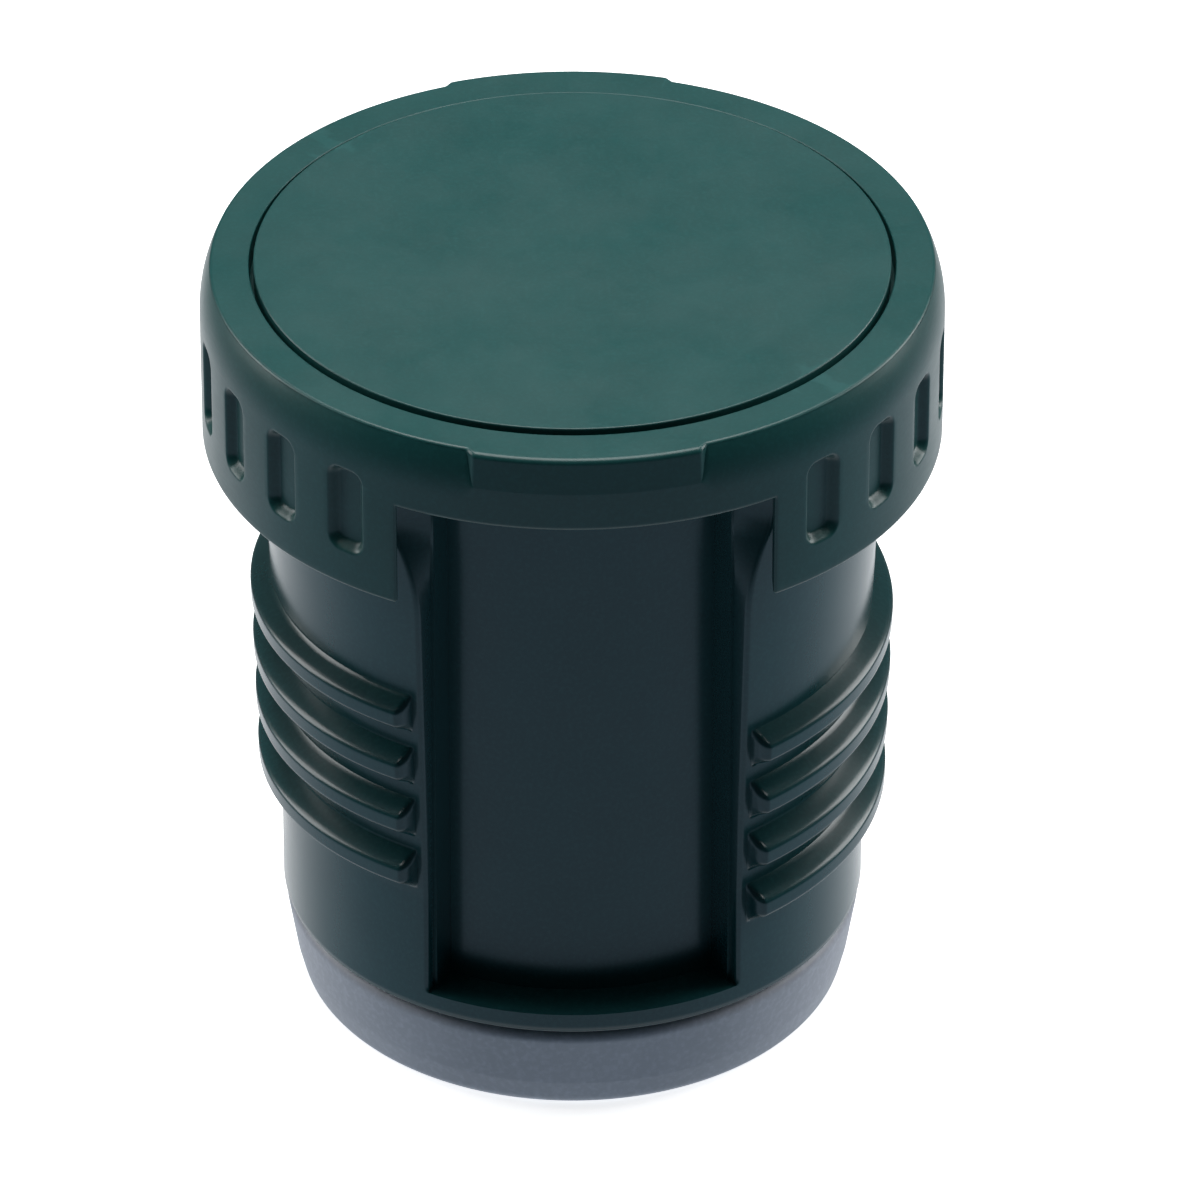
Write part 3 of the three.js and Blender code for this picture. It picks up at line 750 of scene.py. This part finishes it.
TURNED = math.radians(-2.3)  # the main view is from a little to the left of the front
CAMERA_DISTANCE = 23.11 * HEAD_RADIUS  # in front of the axis
CAMERA_RISE = 14.36 * HEAD_RADIUS  # above the head's top
CAMERA_PITCH = math.radians(33.775)
CAMERA_YAW = math.radians(0.187)
CAMERA_ROLL = math.radians(0.097)
VIEW_ANGLE = math.radians(6.756)

# The room's light. Where it changes is given as the downward part of a direction.
FRONT_HIGH = (0.03, 0.035, 0.04)
REAR_HIGH = (0.12, 0.13, 0.13)
FRONT_LOW = (0.34, 0.46, 0.58)
REAR_LOW = (1.35, 1.37, 1.4)
BELOW = (0.8, 0.84, 0.9)
HIGH_TO_LOW = (-0.18, -0.5)
LOW_TO_BELOW = (-0.58, -0.95)
REAR_START = 0.17  # the rear's light begins this far, of 1, in front of the sides


def camera():
    """The main view: from the front and above, with the object's axis upright."""
    p, w, r = CAMERA_PITCH, CAMERA_YAW, CAMERA_ROLL
    forward = Vector((math.sin(w) * math.cos(p), math.cos(w) * math.cos(p), -math.sin(p)))
    level = Vector((math.cos(w), -math.sin(w), 0))
    up = level.cross(forward)
    right = math.cos(r) * level + math.sin(r) * up
    upright = math.cos(r) * up - math.sin(r) * level
    facing = Matrix((right, upright, -forward)).transposed().to_4x4()
    place = Matrix.Translation((0, -CAMERA_DISTANCE * MM, CAMERA_RISE * MM))
    top = Matrix.Translation((0, 0, HEIGHT * MM))
    data = bpy.data.cameras.new("camera")
    data.angle = VIEW_ANGLE
    data.clip_start = 0.01
    lens = bpy.data.objects.new("camera", data)
    lens.matrix_world = top @ Matrix.Rotation(TURNED, 4, "Z") @ place @ facing
    bpy.context.collection.objects.link(lens)
    bpy.context.scene.camera = lens


def softbox(name, place, size, power, target=(0, 0, 0.03)):
    """A rectangular light that faces the object. Places and sizes are in metres."""
    data = bpy.data.lights.new(name, "AREA")
    data.shape = "RECTANGLE"
    data.size, data.size_y = size
    data.energy = power
    light = bpy.data.objects.new(name, data)
    light.location = place
    away = Vector(place) - Vector(target)
    light.rotation_euler = away.to_track_quat("Z", "Y").to_euler()
    bpy.context.collection.objects.link(light)


def floor():
    """A plain pale floor that glows a little and takes the object's shadow. Only the camera sees
    it: what the plastic reflects is the studio all round the object."""
    mesh = bpy.data.meshes.new("floor")
    half = 3
    corners = [(-half, -half, 0), (half, -half, 0), (half, half, 0), (-half, half, 0)]
    mesh.from_pydata(corners, [], [(0, 1, 2, 3)])
    plane = bpy.data.objects.new("floor", mesh)
    bpy.context.collection.objects.link(plane)
    material = bpy.data.materials.new("floor")
    material.use_nodes = True
    shader = material.node_tree.nodes["Principled BSDF"]
    shader.inputs["Base Color"].default_value = (0.86, 0.86, 0.86, 1)
    shader.inputs["Roughness"].default_value = 0.9
    shader.inputs["Specular IOR Level"].default_value = 0.1
    shader.inputs["Emission Color"].default_value = (1, 1, 1, 1)
    shader.inputs["Emission Strength"].default_value = 0.75
    mesh.materials.append(material)
    plane.visible_glossy = False
    plane.visible_diffuse = False
    plane.visible_shadow = False


def fade(tree, value, start, end):
    """0 up to start, 1 from end, and a smooth change between."""
    pairs = (("Value", value), ("From Min", start), ("From Max", end))
    return add(tree, "MapRange", pairs, interpolation_type="SMOOTHSTEP").outputs["Result"]


def studio():
    """Soft light from above and both sides, in a room that the plastic reflects: dark above and
    level with the object, and below that bright at the back and dim and cool at the front. The
    camera sees it as white."""
    world = bpy.data.worlds.new("studio")
    world.use_nodes = True
    tree = world.node_tree
    direction = add(tree, "TexCoord").outputs["Generated"]
    parts = add(tree, "SeparateXYZ", (("Vector", direction),)).outputs
    rise_squared = math_node(tree, "MULTIPLY", parts["Z"], parts["Z"])
    level = math_node(tree, "SQRT", math_node(tree, "SUBTRACT", 1.0001, rise_squared))
    backwards = math_node(tree, "ADD", math_node(tree, "DIVIDE", parts["Y"], level), REAR_START)
    rear = math_node(tree, "MAXIMUM", 0, math_node(tree, "DIVIDE", backwards, 1 + REAR_START))
    rear_low = math_node(tree, "MULTIPLY", rear, rear)
    low = mix_colours(tree, rear_low, FRONT_LOW, REAR_LOW)
    high = mix_colours(tree, rear, FRONT_HIGH, REAR_HIGH)
    downwards = fade(tree, parts["Z"], *HIGH_TO_LOW)
    under = fade(tree, parts["Z"], *LOW_TO_BELOW)
    sky = mix_colours(tree, downwards, high, mix_colours(tree, under, low, BELOW))
    seen = mix_colours(tree, add(tree, "LightPath").outputs["Is Camera Ray"], sky, (1, 1, 1))
    tree.links.new(seen, tree.nodes["Background"].inputs["Color"])
    bpy.context.scene.world = world
    softbox("overhead", (0, 0.3, 1.25), (1.1, 1.1), 21)
    softbox("left", (-0.95, 0.35, 0.4), (0.5, 0.8), 6)
    softbox("right", (0.95, 0.35, 0.4), (0.5, 0.8), 8)
    bpy.context.scene.view_settings.view_transform = "Standard"


camera()
studio()
floor()

grip_head(plastic("head_plastic", TEAL, roughness=0.36, specular=0.42, mottle=0.06, grain=0.002,
                  grain_size=0.16, polish=0.05))
top_disc(plastic("disc_plastic", TEAL, roughness=0.38, specular=0.42, mottle=0.06, grain=0.002,
                 grain_size=0.16, polish=0.05))
threaded_plug(plastic("plug_plastic", DEEP, roughness=0.24, specular=0.5, mottle=0.08, grain=0.0006,
                      grain_size=0.16, polish=0.02))
base_cap(plastic("cap_plastic", DEEP, roughness=0.3, specular=0.5, mottle=0.08, grain=0.002,
                 grain_size=0.16, polish=0.04))
bottom_seal(plastic("seal_silicone", PALE, roughness=0.5, specular=0.5, mottle=0.05, grain=0.01,
                    grain_size=0.22, polish=0.05))
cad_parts["insulating_core"].data.materials.clear()
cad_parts["insulating_core"].data.materials.append(foam())
